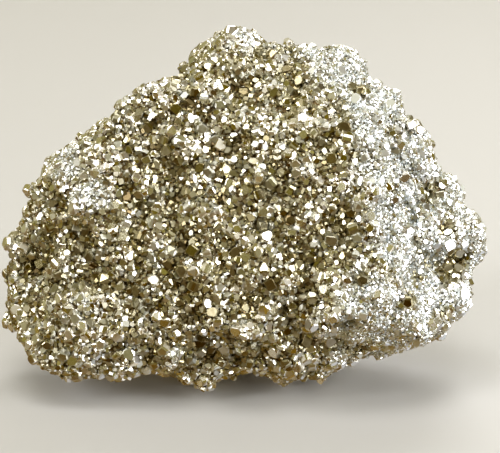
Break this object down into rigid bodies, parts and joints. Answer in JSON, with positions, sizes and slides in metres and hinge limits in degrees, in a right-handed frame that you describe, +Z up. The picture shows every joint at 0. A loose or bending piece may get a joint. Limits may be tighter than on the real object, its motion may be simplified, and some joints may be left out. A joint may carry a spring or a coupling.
{
  "type": "pyrite specimen",
  "caption": "Natural chunk of massive pyrite with a glittering crust of small intergrown crystals in front and rough broken sides, resting on a small flat spot underneath.",
  "frame": {"origin": "on the small flat spot underneath that the specimen rests on", "axes": "+Z up, +X along the chunk's length to the right as the viewer sees it, -Y towards the viewer, whose side has the best crystals"},
  "size_m": [0.0988, 0.062, 0.0717],
  "materials": {
    "pyrite": "bright metallic crystal faces, brassy to silvery, with darker bronze and olive facets between them"
  },
  "bodies": {
    "root": {"pyrite_specimen": "pyrite"}
  },
  "joints": []
}
